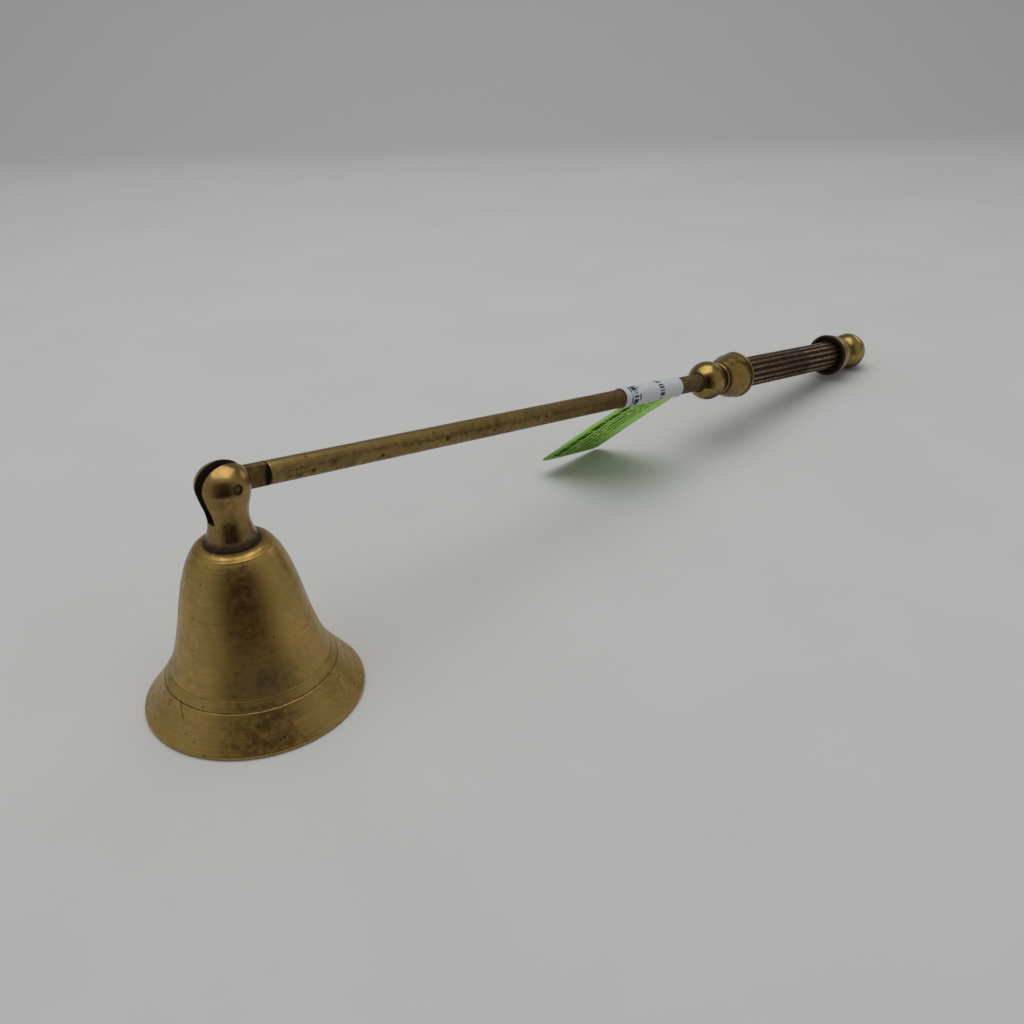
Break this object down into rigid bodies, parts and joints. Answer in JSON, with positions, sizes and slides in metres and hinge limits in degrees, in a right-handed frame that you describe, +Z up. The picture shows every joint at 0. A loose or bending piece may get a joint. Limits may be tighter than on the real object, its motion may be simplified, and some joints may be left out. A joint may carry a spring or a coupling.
{
  "type": "candle snuffer",
  "caption": "Brass candle snuffer: a small turned bell hinged on the end of a long straight stem, with a fluted handle between cup collars, ball ends and a paper price tag.",
  "frame": {"origin": "centre of the bell's mouth, on the surface that the snuffer rests on", "axes": "+Z up along the bell's axis; +X the way the stem heads from the bell to the handle, seen from above; the hinge pin runs along Y"},
  "size_m": [0.2741, 0.0447, 0.0514],
  "materials": {
    "bell_brass": "aged satin with fine turning lines, brown tarnish and small pits",
    "stem_brass": "drawn bar, tarnished brown",
    "polished_brass": "turned and polished, tarnished in the grooves",
    "grip_brass": "dark brown patina, brighter on the lands",
    "hidden_brass": "plain machined",
    "tag_white": "coated label paper",
    "tag_green": "coated label paper, printed green"
  },
  "bodies": {
    "handle": {"stem": "stem_brass", "front_ball": "polished_brass", "front_collar": "polished_brass", "grip": "grip_brass", "rear_collar": "polished_brass", "end_ball": "polished_brass", "tag_band": "tag_white", "tag_flag": "tag_green"},
    "bell": {"bell": "bell_brass", "knuckle": "bell_brass", "knuckle_screw": "hidden_brass", "knuckle_washer": "hidden_brass", "hinge_pin": "hidden_brass"}
  },
  "joints": [
    {"name": "bell_swing", "type": "hinge", "parent": "handle", "child": "bell", "pos_m": [0, 0, 0.0474], "axis": [0, 1, 0], "range_deg": [-34, 233]}
  ]
}
